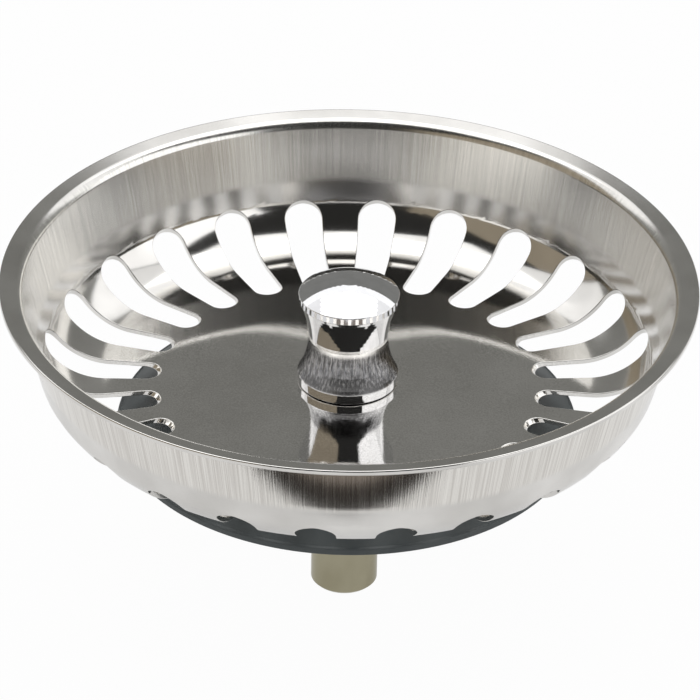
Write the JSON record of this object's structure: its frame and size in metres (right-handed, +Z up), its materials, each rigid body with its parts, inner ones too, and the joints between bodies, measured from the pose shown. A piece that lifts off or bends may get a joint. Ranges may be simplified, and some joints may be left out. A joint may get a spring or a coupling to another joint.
{
  "type": "sink strainer",
  "caption": "Round stainless sink basket strainer with a ring of slots, a chrome spool knob, a rubber cup seal and a locating pin that drops into the drain.",
  "frame": {"origin": "on the strainer's axis, in the plane where the seal's lip meets the drain, which is also on the locating pin's axis", "axes": "+Z up along the strainer's axis, from the locating pin towards the knob; the slots are spaced evenly about it"},
  "size_m": [0.0842, 0.0842, 0.0432],
  "materials": {
    "stainless": "polished bowl with an axially brushed wall",
    "chrome": "polished chrome plate",
    "zinc_steel": "bright zinc plate",
    "rubber": "satin moulded rubber, dark blue-grey",
    "nickel_brass": "satin nickel plate over brass"
  },
  "bodies": {
    "stem": {"locating_pin": "nickel_brass", "stud": "zinc_steel", "seal": "rubber", "clamp_washer": "zinc_steel", "lock_washer": "zinc_steel"},
    "basket": {"basket": "stainless"},
    "knob": {"knob": "chrome"}
  },
  "joints": [
    {"name": "basket_lift", "type": "slide", "parent": "stem", "child": "basket", "axis": [0, 0, 1], "range_m": [0, 0.0072]},
    {"name": "knob_turn", "type": "hinge", "parent": "basket", "child": "knob", "pos_m": [0, 0, 0.00698], "axis": [0, 0, 1], "range_deg": [0, 3240]}
  ],
  "couplings": [
    {"joint": "knob_turn", "follows": "basket_lift", "rad_per_m": 7854}
  ]
}
